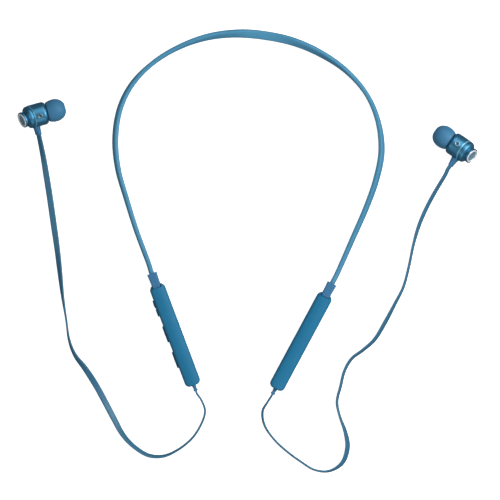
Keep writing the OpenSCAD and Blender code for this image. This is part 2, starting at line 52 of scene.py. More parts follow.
# ---------------------------------------------------------------- places of the stems and buds
key_axis = Vector(joints["play_press"]["axis"])
STEM_TURN = (math.degrees(math.atan2(key_axis.y, key_axis.x)), -28.3)
STEM_AT = [Vector(mounts[s + "_rest"]["pos_m"]) / MM for s in SIDES]
STEM_W, STEM_L, STEM_D = 8.7, 59.4, 8.0
WALL = 1.0
SPLIT_Z = 4.0
SIDE_X = STEM_W / 2
INNER_X = SIDE_X - WALL
END_Y = STEM_L / 2
SLEEVE_W, SLEEVE_IN, SLEEVE_OUT = 5.0, 2.2, 6.4
BOOT_W, BOOT_H, BOOT_OUT = 2.3, 4.4, 3.1
KEY_L, KEY_H, KEY_PROUD, KEY_Y = 9.3, 3.6, 0.75, (17.1, 2.0, -13.1)
PORT_Y, PORT_Z, COVER_L, COVER_H = 9.1, 4.3, 9.6, 3.2

BUD_AT = ((-124.8, 51.1), (123.55, 30.6))
BUD_TURN = (15.2, 145.4)
BUD_PITCH = (6, 7)
BUD_DIP = (21, 3)
BUD_HAND = (1, -1)
WAIST_S, BELL_S, BARREL_S, FRONT_S, TIP_S, NOZZLE_S = 2.3, 5.7, 6.05, 14.9, 15.1, 20.2
BOOT_S, BOOT_END, VENT_S = 7.6, 11.0, 10.6
VENT_TURN, CUP_TURN, CUP_CANT, BELL_CANT = 10.0, 5.0, 24.0, 14.0
BELL_R, BARREL_R, TIP_R, CUP_R, RING_R, RING_IN, NOZZLE_R = 6.25, 6.35, 6.25, 4.45, 3.88, 2.9, 2.5
CUP_FLOOR, CUP_RIM = 0.95, 2.1
VENT_SCREEN_R, NOZZLE_SCREEN_R = 0.86, 2.05
SEAT_R = BARREL_R - 0.7
SEAM_S = 5.9
REST = 0.05


def turn(degrees, axis):
    return Matrix.Rotation(math.radians(degrees), 4, axis)


def stem_place(which):
    return Matrix.Translation(STEM_AT[which]) @ turn(STEM_TURN[which], "Z")


def tail_z(which):
    return REST + TIP_R + (TIP_S + 4) * math.sin(math.radians(BUD_PITCH[which]))


def bud_place(which):
    at = Vector((*BUD_AT[which], tail_z(which)))
    return (Matrix.Translation(at) @ turn(BUD_TURN[which], "Z") @ turn(BUD_PITCH[which], "Y")
            @ turn(BUD_HAND[which] * BUD_DIP[which], "X"))


TO_METRES = Matrix.Scale(MM, 4)

# ---------------------------------------------------------------- camera, floor and lights
aim = Vector((0.0011, -0.0206, 0.003))
camera_data = bpy.data.cameras.new("camera")
camera_data.sensor_width = 36
distance = 2.6
camera_data.lens = 36 * distance / 0.275
camera_data.clip_start = 0.01
camera = bpy.data.objects.new("camera", camera_data)
camera.location = aim + Vector((0, 0, distance))
bpy.context.scene.collection.objects.link(camera)
bpy.context.scene.camera = camera


def softbox(name, at, size, watts):
    """A soft rectangular light that faces the set."""
    data = bpy.data.lights.new(name, "AREA")
    data.shape = "RECTANGLE"
    data.size, data.size_y = size
    data.energy = watts
    lamp = bpy.data.objects.new(name, data)
    lamp.location = aim + Vector(at)
    lamp.rotation_euler = Vector(at).to_track_quat("Z", "Y").to_euler()
    lamp.visible_camera = False
    bpy.context.scene.collection.objects.link(lamp)


softbox("key_light", (0.8, 0.15, 0.7), (0.5, 0.9), 8.0)
softbox("top_light", (0.35, 0.85, 1.0), (1.4, 1.0), 8)
softbox("front_light", (0.0, -0.9, 0.6), (1.3, 0.5), 3.3)
softbox("left_light", (-0.8, -0.15, 0.75), (0.3, 0.6), 1.8)

world = bpy.data.worlds.new("studio")
bpy.context.scene.world = world
world.use_nodes = True
sky = world.node_tree.nodes
background = sky["Background"]
background.inputs["Strength"].default_value = 0.1
background.inputs["Color"].default_value = (0.95, 0.98, 1, 1)
seen = sky.new("ShaderNodeBackground")
seen.inputs["Color"].default_value = (1, 1, 1, 1)
ray = sky.new("ShaderNodeLightPath")
choose = sky.new("ShaderNodeMixShader")
world.node_tree.links.new(ray.outputs["Is Camera Ray"], choose.inputs[0])
world.node_tree.links.new(background.outputs[0], choose.inputs[1])
world.node_tree.links.new(seen.outputs[0], choose.inputs[2])
world.node_tree.links.new(choose.outputs[0], sky["World Output"].inputs["Surface"])
bpy.context.scene.view_settings.view_transform = "Standard"
bpy.context.scene.view_settings.look = "None"

# ---------------------------------------------------------------- bench tools for meshes


def keep_piece(name, bm, place, finish, body=HEADSET, replaces=(), sharp=32):
    """Turns a finished bmesh into a piece that rides on a body."""
    bm.transform(TO_METRES @ place)
    mesh = bpy.data.meshes.new(name)
    bm.to_mesh(mesh)
    bm.free()
    mesh.shade_smooth()
    mesh.set_sharp_from_angle(angle=math.radians(sharp))
    piece = bpy.data.objects.new(name, mesh)
    bpy.context.scene.collection.objects.link(piece)
    mesh.materials.append(finish)
    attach(piece, body)
    if replaces:
        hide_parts(*replaces)
    return piece


def closed_up(bm):
    """Merges doubles and points every face outwards."""
    bmesh.ops.remove_doubles(bm, verts=bm.verts, dist=1e-5)
    bmesh.ops.recalc_face_normals(bm, faces=bm.faces)
    return bm


def turned(profile, soft=0.0, keep=(), steps=96):
    """Lathe work about the X axis from a closed profile of (along, radius). Corners are
    softened except those whose numbers are in keep."""
    bm = bmesh.new()
    corners = [bm.verts.new((a, 0, r)) for a, r in profile]
    bm.faces.new(corners)
    if soft:
        rounded = [v for i, v in enumerate(corners) if i not in keep and v.co.z > 1e-6]
        bmesh.ops.bevel(bm, geom=rounded, offset=soft, offset_type="OFFSET", affect="VERTICES",
                        segments=4, profile=0.5, clamp_overlap=True, material=-1)
    bmesh.ops.delete(bm, geom=bm.faces[:], context="FACES_ONLY")
    on_axis = [e for e in bm.edges if all(abs(v.co.z) < 1e-6 for v in e.verts)]
    bmesh.ops.delete(bm, geom=on_axis, context="EDGES")
    bmesh.ops.spin(bm, geom=bm.verts[:] + bm.edges[:], cent=(0, 0, 0), axis=(1, 0, 0),
                   angle=2 * math.pi, steps=steps, use_merge=True, use_duplicate=False)
    return closed_up(bm)


def lofted(rings):
    """Pulls a loop through a row of rings that all have as many points, and closes both ends."""
    bm = bmesh.new()
    loop = [bm.verts.new(p) for p in rings[0]]
    count = len(loop)
    edges = [bm.edges.new((loop[i], loop[(i + 1) % count])) for i in range(count)]
    bm.faces.new(loop)
    for ring in rings[1:]:
        pulled = bmesh.ops.extrude_edge_only(bm, edges=edges)["geom"]
        fresh = {v for v in pulled if isinstance(v, bmesh.types.BMVert)}
        onward = []
        for old, point in zip(loop, ring):
            new = next(e.other_vert(old) for e in old.link_edges if e.other_vert(old) in fresh)
            new.co = point
            onward.append(new)
        loop = onward
        edges = [bm.edges.get((loop[i], loop[(i + 1) % count])) for i in range(count)]
    bm.faces.new(loop)
    bmesh.ops.recalc_face_normals(bm, faces=bm.faces)
    return bm


def block(size, centre, soft=0.0, segments=3):
    """A block with all its edges softened."""
    bm = bmesh.new()
    bmesh.ops.create_cube(bm, size=1)
    bmesh.ops.scale(bm, vec=size, verts=bm.verts)
    bmesh.ops.translate(bm, vec=centre, verts=bm.verts)
    if soft:
        bmesh.ops.bevel(bm, geom=bm.edges[:], offset=soft, offset_type="OFFSET", affect="EDGES",
                        segments=segments, profile=0.5, clamp_overlap=True, material=-1)
    return bm


def gathered(*parts):
    """Several loose shapes in one bmesh."""
    whole = bmesh.new()
    for part in parts:
        scrap = bpy.data.meshes.new("scrap")
        part.to_mesh(scrap)
        part.free()
        whole.from_mesh(scrap)
        bpy.data.meshes.remove(scrap)
    return whole


def loose_object(bm):
    mesh = bpy.data.meshes.new("scrap")
    bm.to_mesh(mesh)
    bm.free()
    thing = bpy.data.objects.new("scrap", mesh)
    bpy.context.scene.collection.objects.link(thing)
    return thing


def carved(bm, *cutters):
    """The shape less each cutter."""
    body = loose_object(bm)
    tools = [loose_object(c) for c in cutters]
    for tool in tools:
        cut = body.modifiers.new("cut", "BOOLEAN")
        cut.operation = "DIFFERENCE"
        cut.solver = "EXACT"
        cut.object = tool
    bpy.context.view_layer.update()
    done = bpy.data.meshes.new_from_object(body.evaluated_get(bpy.context.evaluated_depsgraph_get()))
    result = bmesh.new()
    result.from_mesh(done)
    bpy.data.meshes.remove(done)
    for thing in [body, *tools]:
        mesh = thing.data
        bpy.data.objects.remove(thing)
        bpy.data.meshes.remove(mesh)
    bmesh.ops.remove_doubles(result, verts=result.verts, dist=1e-4)
    bmesh.ops.dissolve_degenerate(result, dist=1e-4, edges=result.edges)
    return result


def arc(x, y, r, start, end, n=10):
    angles = [math.radians(start + (end - start) * i / n) for i in range(n + 1)]
    return [(x + r * math.cos(a), y + r * math.sin(a)) for a in angles]


def rounded(w, l, top, low, n):
    """Rectangle about the origin with corner radii at its +Y and -Y ends."""
    return (arc(w / 2 - top, l / 2 - top, top, 0, 90, n) + arc(-w / 2 + top, l / 2 - top, top, 90, 180, n)
            + arc(-w / 2 + low, -l / 2 + low, low, 180, 270, n)
            + arc(w / 2 - low, -l / 2 + low, low, 270, 360, n))


def pad(outline, z0, z1):
    """A flat outline raised from z0 to z1."""
    bm = bmesh.new()
    floor_face = bm.faces.new([bm.verts.new((x, y, z0)) for x, y in outline])
    raised = bmesh.ops.extrude_face_region(bm, geom=[floor_face], use_keep_orig=True)["geom"]
    bmesh.ops.translate(bm, vec=(0, 0, z1 - z0),
                        verts=[v for v in raised if isinstance(v, bmesh.types.BMVert)])
    bmesh.ops.recalc_face_normals(bm, faces=bm.faces)
    return bm


# ---------------------------------------------------------------- routes of the band and cables


def soft_power(v, p):
    return math.copysign(abs(v) ** p, v) if v else 0.0


def section(w, t, n):
    points = []
    for i in range(n):
        a = 2 * math.pi * i / n
        c, s = round(math.cos(a), 9), round(math.sin(a), 9)
        points.append((w / 2 * soft_power(c, 0.6), t / 2 * soft_power(s, 0.6)))
    return points


def half_height(outline, roll):
    a = math.radians(roll)
    return max(p[0] * math.sin(a) + p[1] * math.cos(a) for p in outline)


def beyond(route, i):
    if i < 0:
        return [2 * a - b for a, b in zip(route[0], route[1])]
    if i >= len(route):
        return [2 * a - b for a, b in zip(route[-1], route[-2])]
    return route[i]


def dense(route, steps):
    line = []
    for i in range(len(route) - 1):
        a, b, c, d = beyond(route, i - 1), route[i], route[i + 1], beyond(route, i + 2)
        for k in range(steps):
            t = k / steps
            line.append([0.5 * (2 * q + (r - p) * t + (2 * p - 5 * q + 4 * r - s) * t * t
                                + (3 * q - p - 3 * r + s) * t ** 3) for p, q, r, s in zip(a, b, c, d)])
    return line + [list(route[-1])]


def stem_point(which, y, lift, roll):
    a = math.radians(STEM_TURN[which])
    at = STEM_AT[which]
    return [at.x - y * math.sin(a), at.y + y * math.cos(a), lift, roll]


def boot_point(which, reach, roll):
    p = bud_place(which) @ Vector((BOOT_S, -BUD_HAND[which] * reach, 0))
    return [p.x, p.y, p.z - REST - half_height(CABLE_PLAIN, roll), roll]


BAND_W, BAND_T = 4.9, 2.7
CABLE_W, CABLE_T = 3.5, 1.2
BAND_PLAIN, BAND_FINE = section(BAND_W, BAND_T, 12), section(BAND_W, BAND_T, 40)
CABLE_PLAIN, CABLE_FINE = section(CABLE_W, CABLE_T, 8), section(CABLE_W, CABLE_T, 32)
STEM_ROLL = 96
BAND_LIFT = SPLIT_Z - REST - half_height(BAND_PLAIN, STEM_ROLL)
CABLE_LIFT = SPLIT_Z - REST - CABLE_W / 2
BAND_START = END_Y - 2.2


def sleeve_line(which):
    return [stem_point(which, BAND_START + d, BAND_LIFT, STEM_ROLL) for d in (0, 5, 10)]


BAND_ROUTE = sleeve_line(LEFT) + [
    [-55, -27, 0.9, 96], [-61.5, -9.5, 0.2, 98], [-67, 8, 0, 102], [-71.5, 24, 0, 107],
    [-73, 40.5, 0, 111], [-70.5, 57, 0, 111], [-63.5, 71, 0, 105], [-52, 82.5, 0, 92],
    [-38, 91, 0, 83], [-22.5, 96.5, 0, 64], [-6.5, 98.5, 0, 42], [9, 97.5, 0, 8],
    [25, 94, 0, 38], [40, 87.5, 0, 57], [54, 78, 0, 78], [65, 65.5, 0, 92],
    [71.5, 50.5, 0, 102], [73.5, 34, 0, 115], [70.5, 18, 0, 113], [65, 2.5, 0, 108],
    [58.2, -13, 0.2, 103], [49.7, -32.2, 0.9, 97]] + sleeve_line(RIGHT)[::-1]
LEFT_CABLE_ROUTE = [
    stem_point(LEFT, -END_Y - BOOT_OUT, CABLE_LIFT, 90),
    stem_point(LEFT, -END_Y - BOOT_OUT - 2, CABLE_LIFT, 90),
    [-25.5, -103.4, 1.7, 90], [-23.6, -109.5, 0.8, 90], [-26, -117, 0.2, 90], [-31, -124.5, 0, 88],
    [-38.5, -130.5, 0, 85], [-46.5, -134, 0, 74], [-55, -133.5, 0, 64], [-63, -128.5, 0, 58],
    [-69, -122, 0, 46], [-74, -113, 0, 28], [-79, -103.5, 0, 16], [-84, -94.5, 0, 4],
    [-89.5, -86, 0, -28], [-95.2, -78.4, 0, -58], [-98.4, -70, 0, -76], [-100, -59, 0, -88],
    [-102, -46, 0, -68], [-103.5, -33, 0, -45], [-105, -20, 0, -30], [-107, -6, 0, -16],
    [-109, 8, 0, -12], [-110.9, 20, 0.1, -18], [-112.7, 31, 0.8, -34],
    boot_point(LEFT, BOOT_END + 3, -45), boot_point(LEFT, BOOT_END, -45)]
RIGHT_CABLE_ROUTE = [
    stem_point(RIGHT, -END_Y - BOOT_OUT, CABLE_LIFT, 90),
    stem_point(RIGHT, -END_Y - BOOT_OUT - 1.5, CABLE_LIFT, 90),
    [10.8, -104.2, 1.5, 88], [8, -109.6, 0.7, 82], [9.2, -117.2, 0.1, 84], [14.5, -125, 0, 90],
    [21.5, -131.5, 0, 90], [29, -137, 0, 90], [36.5, -141.5, 0, 88], [44.8, -142.2, 0, 78],
    [52, -137.6, 0, 56], [54.8, -129, 0, 48], [53.5, -120.5, 0, 64], [50.5, -112, 0, 80],
    [49, -104, 0, 76], [51, -95.5, 0, 74], [53, -87.5, 0, 72], [57, -80.5, 0, 70],
    [63.5, -75.5, 0, 68], [70, -69.5, 0, 62], [76, -59.5, 0, 58], [81, -50, 0, 68],
    [85.5, -41, 0, 75], [88.5, -30, 0, 76], [91, -18, 0, 74], [94, -7.5, 0, 62],
    [98, 2, 0.3, 60], [103, 11.5, 1.5, 60], [108, 20, 3.9, 60],
    boot_point(RIGHT, BOOT_END + 2.5, 60), boot_point(RIGHT, BOOT_END, 60)]


def stations(route, steps, plain):
    """Centre, and the section's two directions, at close steps along a route."""
    line = dense(route, steps)
    centres = [Vector((p[0], p[1], max(p[2], 0) + REST + half_height(plain, p[3]))) for p in line]
    found = []
    for i, (c, p) in enumerate(zip(centres, line)):
        ahead = (centres[min(i + 1, len(line) - 1)] - centres[max(i - 1, 0)]).normalized()
        side = Vector((0, 0, 1)).cross(ahead).normalized()
        up = ahead.cross(side)
        a = math.radians(p[3])
        found.append((c, side * math.cos(a) + up * math.sin(a), up * math.cos(a) - side * math.sin(a)))
    return found


def swept(places, outline):
    return lofted([[c + across * x + over * y for x, y in outline] for c, across, over in places])

# ---------------------------------------------------------------- shared surface effects


def wire(tree, a, b):
    tree.links.new(a, b)


def new_effect(name, inputs, outputs):
    """An empty node group with named sockets."""
    group = bpy.data.node_groups.new(name, "ShaderNodeTree")
    for label, kind, value in inputs:
        socket = group.interface.new_socket(name=label, in_out="INPUT", socket_type="NodeSocket" + kind)
        socket.default_value = value
    for label, kind in outputs:
        group.interface.new_socket(name=label, in_out="OUTPUT", socket_type="NodeSocket" + kind)
    return group, group.nodes.new("NodeGroupInput"), group.nodes.new("NodeGroupOutput")


def math_node(tree, operation, a, b=None, clamp=False):
    node = tree.nodes.new("ShaderNodeMath")
    node.operation = operation
    node.use_clamp = clamp
    for socket, value in zip(node.inputs, (a, b)):
        if value is None:
            continue
        if isinstance(value, (int, float)):
            socket.default_value = value
        else:
            wire(tree, value, socket)
    return node.outputs[0]


def noise_node(tree, vector, scale, detail=3.0, roughness=0.55):
    node = tree.nodes.new("ShaderNodeTexNoise")
    wire(tree, vector, node.inputs["Vector"])
    if isinstance(scale, (int, float)):
        node.inputs["Scale"].default_value = scale
    else:
        wire(tree, scale, node.inputs["Scale"])
    node.inputs["Detail"].default_value = detail
    node.inputs["Roughness"].default_value = roughness
    return node.outputs["Fac"]


def spread_node(tree, value, start, end):
    """Stretches a value so that start gives 0 and end gives 1, with soft shoulders."""
    node = tree.nodes.new("ShaderNodeMapRange")
    node.interpolation_type = "SMOOTHSTEP"
    wire(tree, value, node.inputs["Value"])
    node.inputs["From Min"].default_value = start
    node.inputs["From Max"].default_value = end
    return node.outputs["Result"]


def make_skin_effect():
    """Moulded skin: fine grain with a coarse drift of tone."""
    group, into, out = new_effect(
        "moulded_skin", [("Grain Size", "Float", 9000.0), ("Drift Size", "Float", 60.0)],
        [("Grain", "Float"), ("Drift", "Float"), ("Height", "Float")])
    where = group.nodes.new("ShaderNodeTexCoord").outputs["Object"]
    grain = noise_node(group, where, into.outputs["Grain Size"], 2.0, 0.6)
    cells = group.nodes.new("ShaderNodeTexVoronoi")
    wire(group, where, cells.inputs["Vector"])
    wire(group, into.outputs["Grain Size"], cells.inputs["Scale"])
    drift = noise_node(group, where, into.outputs["Drift Size"], 4.0, 0.6)
    height = math_node(group, "ADD", math_node(group, "MULTIPLY", grain, 0.7),
                       math_node(group, "MULTIPLY", cells.outputs["Distance"], 0.3))
    wire(group, spread_node(group, grain, 0.3, 0.7), out.inputs["Grain"])
    wire(group, spread_node(group, drift, 0.36, 0.66), out.inputs["Drift"])
    wire(group, height, out.inputs["Height"])
    return group


def make_rub_and_highlight_effect():
    """Wear and a painted edge highlight where the surface turns an edge, broken up by noise."""
    group, into, out = new_effect(
        "edge_rub_and_painted_highlight", [("Reach", "Float", 0.04), ("Patch Size", "Float", 900.0)], [("Mask", "Float")])
    where = group.nodes.new("ShaderNodeTexCoord").outputs["Object"]
    point = group.nodes.new("ShaderNodeNewGeometry").outputs["Pointiness"]
    over = math_node(group, "SUBTRACT", point, 0.5)
    edge = math_node(group, "DIVIDE", over, into.outputs["Reach"], clamp=True)
    patch = spread_node(group, noise_node(group, where, into.outputs["Patch Size"], 4.0, 0.7), 0.35, 0.65)
    wire(group, math_node(group, "MULTIPLY", edge, patch), out.inputs["Mask"])
    return group


def make_handling_effect():
    """Faint finger smears and settled dust."""
    group, into, out = new_effect(
        "handling", [("Smear Size", "Float", 160.0), ("Dust Size", "Float", 2600.0)],
        [("Smear", "Float"), ("Dust", "Float")])
    where = group.nodes.new("ShaderNodeTexCoord").outputs["Object"]
    stretch = group.nodes.new("ShaderNodeMapping")
    stretch.inputs["Rotation"].default_value = (0.3, 0.2, 0.7)
    stretch.inputs["Scale"].default_value = (1, 3.5, 1)
    wire(group, where, stretch.inputs["Vector"])
    smear = noise_node(group, stretch.outputs[0], into.outputs["Smear Size"], 5.0, 0.65)
    specks = group.nodes.new("ShaderNodeTexVoronoi")
    wire(group, where, specks.inputs["Vector"])
    wire(group, into.outputs["Dust Size"], specks.inputs["Scale"])
    normal = group.nodes.new("ShaderNodeSeparateXYZ")
    wire(group, group.nodes.new("ShaderNodeNewGeometry").outputs["Normal"], normal.inputs[0])
    upward = spread_node(group, normal.outputs["Z"], 0.2, 0.95)
    speck = spread_node(group, specks.outputs["Distance"], 0.1, 0.02)
    wire(group, spread_node(group, smear, 0.45, 0.75), out.inputs["Smear"])
    wire(group, math_node(group, "MULTIPLY", speck, upward), out.inputs["Dust"])
    return group


def make_turning_effect():
    """Fine rings that a lathe tool leaves about the X axis."""
    group, into, out = new_effect(
        "turning_marks", [("Vector", "Vector", (0, 0, 0)), ("Pitch", "Float", 5200.0)],
        [("Rings", "Float"), ("Height", "Float")])
    rings = group.nodes.new("ShaderNodeTexWave")
    rings.wave_type = "BANDS"
    rings.bands_direction = "X"
    rings.inputs["Distortion"].default_value = 0.6
    rings.inputs["Detail"].default_value = 2
    rings.inputs["Detail Scale"].default_value = 1.5
    wire(group, into.outputs["Vector"], rings.inputs["Vector"])
    wire(group, into.outputs["Pitch"], rings.inputs["Scale"])
    wire(group, rings.outputs["Fac"], out.inputs["Rings"])
    wire(group, rings.outputs["Fac"], out.inputs["Height"])
    return group


SKIN, RUB_AND_HIGHLIGHT = make_skin_effect(), make_rub_and_highlight_effect()
HANDLING, TURNING = make_handling_effect(), make_turning_effect()
DUST_GREY = (0.55, 0.6, 0.64)


def place_effect(tree, effect, **values):
    node = tree.nodes.new("ShaderNodeGroup")
    node.node_tree = effect
    for label, value in values.items():
        node.inputs[label.replace("_", " ")].default_value = value
    return node


def mix_colour(tree, mask, a, b):
    node = tree.nodes.new("ShaderNodeMix")
    node.data_type = "RGBA"
    wire(tree, mask, node.inputs[0])
    for socket, colour in ((node.inputs[6], a), (node.inputs[7], b)):
        if isinstance(colour, (tuple, list)):
            socket.default_value = (*colour, 1)
        else:
            wire(tree, colour, socket)
    return node.outputs[2]


def finish(name, tone, second, worn_and_lit_edge_tone, rough, grain=9000.0, drift=60.0, bump=0.02, depth=0.00003, metal=0.0,
           sheen=0.0, coat=0.0, rub_and_highlight_amount=0.35, dust=0.12, spread=0.08, specular=0.5, turned_on=None, clear=0.0):
    """A surface: two tones that drift into each other, edges lightened partly as wear and partly as a painted
    highlight, smears, dust, grain in roughness and bump."""
    skin = bpy.data.materials.new(name)
    skin.use_nodes = True
    tree = skin.node_tree
    shader = tree.nodes["Principled BSDF"]
    shader.inputs["Metallic"].default_value = metal
    shader.inputs["Specular IOR Level"].default_value = specular
    shader.inputs["Sheen Weight"].default_value = sheen
    shader.inputs["Sheen Roughness"].default_value = 0.5
    shader.inputs["Coat Weight"].default_value = coat
    shader.inputs["Coat Roughness"].default_value = 0.15
    shader.inputs["Transmission Weight"].default_value = clear
    base = place_effect(tree, SKIN, Grain_Size=grain, Drift_Size=drift)
    # Convex edges are lightened towards the worn tone: partly wear, partly a painted edge highlight.
    edge = place_effect(tree, RUB_AND_HIGHLIGHT, Reach=0.06, Patch_Size=grain / 8)
    hand = place_effect(tree, HANDLING)
    colour = mix_colour(tree, base.outputs["Drift"], tone, second)
    fine = math_node(tree, "MULTIPLY", base.outputs["Grain"], 0.25)
    colour = mix_colour(tree, fine, colour, second)
    colour = mix_colour(tree, math_node(tree, "MULTIPLY", edge.outputs["Mask"], rub_and_highlight_amount), colour, worn_and_lit_edge_tone)
    colour = mix_colour(tree, math_node(tree, "MULTIPLY", hand.outputs["Dust"], dust), colour, DUST_GREY)
    wire(tree, colour, shader.inputs["Base Color"])
    rougher = math_node(tree, "MULTIPLY", base.outputs["Grain"], spread)
    smeared = math_node(tree, "MULTIPLY", hand.outputs["Smear"], spread)
    level = math_node(tree, "ADD", math_node(tree, "ADD", rougher, rough - spread / 2), smeared, clamp=True)
    height = base.outputs["Height"]
    if turned_on:
        where = tree.nodes.new("ShaderNodeTexCoord")
        seat = tree.nodes.new("ShaderNodeMapping")
        seat.vector_type = "TEXTURE"
        place = TO_METRES @ turned_on
        seat.inputs["Location"].default_value = place.to_translation()
        seat.inputs["Rotation"].default_value = place.to_euler("XYZ")
        wire(tree, where.outputs["Object"], seat.inputs["Vector"])
        marks = place_effect(tree, TURNING)
        wire(tree, seat.outputs[0], marks.inputs["Vector"])
        height = math_node(tree, "ADD", math_node(tree, "MULTIPLY", marks.outputs["Height"], 0.8),
                           math_node(tree, "MULTIPLY", height, 0.3))
        ringed = math_node(tree, "MULTIPLY", marks.outputs["Rings"], 0.05)
        level = math_node(tree, "ADD", level, ringed, clamp=True)
    wire(tree, level, shader.inputs["Roughness"])
    raise_node = tree.nodes.new("ShaderNodeBump")
    raise_node.inputs["Strength"].default_value = bump
    raise_node.inputs["Distance"].default_value = depth
    wire(tree, height, raise_node.inputs["Height"])
    wire(tree, raise_node.outputs["Normal"], shader.inputs["Normal"])
    return skin


band_rubber = finish("band_rubber", (0.056, 0.255, 0.425), (0.066, 0.280, 0.455), (0.10, 0.33, 0.48), 0.5,
                     grain=7000, bump=0.3, sheen=0.03, specular=0.4, rub_and_highlight_amount=0.2, dust=0.05)
cable_rubber = finish("cable_rubber", (0.027, 0.145, 0.258), (0.034, 0.168, 0.285), (0.08, 0.28, 0.42), 0.45,
                      grain=8000, bump=0.25, sheen=0.03, specular=0.45, rub_and_highlight_amount=0.2, dust=0.05)
sleeve_rubber = finish("sleeve_rubber", (0.040, 0.170, 0.340), (0.048, 0.185, 0.36), (0.10, 0.28, 0.45), 0.55,
                       grain=7000, bump=0.35, sheen=0.04, specular=0.3, rub_and_highlight_amount=0.25, dust=0.06)
tip_rubber = finish("tip_rubber", (0.040, 0.185, 0.345), (0.050, 0.2, 0.365), (0.09, 0.27, 0.44), 0.5,
                    grain=6000, bump=0.2, sheen=0.05, specular=0.3, rub_and_highlight_amount=0.15, dust=0.06)
soft_paint = finish("soft_paint", (0.012, 0.168, 0.325), (0.015, 0.180, 0.345), (0.06, 0.26, 0.42), 0.52,
                    grain=11000, bump=0.25, sheen=0.02, specular=0.22, rub_and_highlight_amount=0.25, dust=0.05)
key_paint = finish("key_paint", (0.004, 0.045, 0.100), (0.006, 0.055, 0.115), (0.03, 0.14, 0.24), 0.4,
                   grain=11000, bump=0.2, specular=0.35, rub_and_highlight_amount=0.35, dust=0.05)
bud_metal = [finish("anodised_blue_" + SIDES[w],
                    (0.065, 0.260, 0.430), (0.075, 0.280, 0.455), (0.2, 0.5, 0.66), 0.42,
                    grain=14000, bump=0.04, metal=1.0, rub_and_highlight_amount=0.2, dust=0.03, spread=0.05, coat=0.1,
                    turned_on=bud_place(w))
             for w in (LEFT, RIGHT)]
# The seam ring's lighter, partly diffuse blue is a painted highlight on the seam bevel.
seam_highlight_metal = [finish("seam_painted_highlight_" + SIDES[w], (0.2, 0.55, 0.75), (0.24, 0.6, 0.8), (0.5, 0.75, 0.85), 0.34,
                    grain=9000, bump=0.04, metal=0.75, rub_and_highlight_amount=0.3, dust=0.03, spread=0.04,
                    turned_on=bud_place(w)) for w in (LEFT, RIGHT)]
# The cup ring's near-white base with little metallic is a painted reflection of a bright surround, in place of a
# chrome mirror.
chrome_painted_reflection = finish("chrome_ring_painted_reflection", (0.88, 0.90, 0.93), (0.84, 0.87, 0.9), (0.95, 0.95, 0.97), 0.28,
                  grain=9000, bump=0.03, metal=0.3, rub_and_highlight_amount=0.2, dust=0.04, spread=0.05)
pale_metal = finish("pale_metal", (0.34, 0.53, 0.62), (0.3, 0.48, 0.57), (0.7, 0.78, 0.82), 0.3,
                    grain=9000, bump=0.05, metal=1.0, rub_and_highlight_amount=0.2, dust=0.04, spread=0.06)
disc_satin = finish("disc_satin", (0.13, 0.235, 0.315), (0.165, 0.28, 0.36), (0.4, 0.5, 0.58), 0.38,
                    grain=14000, bump=0.4, metal=0.15, rub_and_highlight_amount=0.3, dust=0.06, spread=0.14)
dark_gap = finish("dark_gap", (0.012, 0.045, 0.075), (0.016, 0.05, 0.08), (0.03, 0.09, 0.14), 0.6,
                  grain=7000, bump=0.3, rub_and_highlight_amount=0.1)
steel_plate = finish("steel_plate", (0.55, 0.56, 0.57), (0.5, 0.51, 0.52), (0.8, 0.8, 0.8), 0.3,
                     grain=12000, bump=0.2, metal=1.0, rub_and_highlight_amount=0.4)
dark_weave = finish("dark_weave", (0.08, 0.09, 0.1), (0.05, 0.055, 0.06), (0.3, 0.3, 0.3), 0.4,
                    grain=5200, bump=0.9, metal=0.8, rub_and_highlight_amount=0.3, spread=0.2)
dark_moulding = finish("dark_moulding", (0.02, 0.02, 0.022), (0.028, 0.028, 0.03), (0.1, 0.1, 0.1), 0.5,
                       grain=8000, bump=0.4)
magnet_plate = finish("magnet_plate", (0.6, 0.59, 0.56), (0.52, 0.51, 0.49), (0.8, 0.79, 0.76), 0.22,
                      grain=9000, bump=0.1, metal=1.0)
white_mould = finish("white_mould", (0.72, 0.71, 0.68), (0.78, 0.77, 0.74), (0.85, 0.84, 0.8), 0.4,
                     grain=9000, bump=0.2)
clear_guide = finish("clear_guide", (0.75, 0.86, 0.92), (0.68, 0.8, 0.88), (0.9, 0.95, 0.98), 0.3,
                     grain=7000, bump=0.3, clear=0.85)
film = finish("driver_film", (0.42, 0.33, 0.18), (0.5, 0.4, 0.22), (0.7, 0.6, 0.4), 0.25,
              grain=3000, bump=0.6, coat=0.4)
foil = finish("cell_foil", (0.5, 0.52, 0.54), (0.42, 0.44, 0.46), (0.7, 0.72, 0.74), 0.32,
              grain=700, bump=0.8, depth=0.0002, metal=0.9, spread=0.15)
copper = finish("copper_strands", (0.6, 0.3, 0.12), (0.5, 0.24, 0.09), (0.8, 0.5, 0.3), 0.3,
                grain=4000, bump=0.7, metal=1.0)
board_mask = finish("board_mask", (0.008, 0.07, 0.03), (0.012, 0.11, 0.045), (0.5, 0.4, 0.15), 0.28,
                    grain=1600, drift=900, bump=0.5, depth=0.00005, coat=0.5)

# ---------------------------------------------------------------- floor


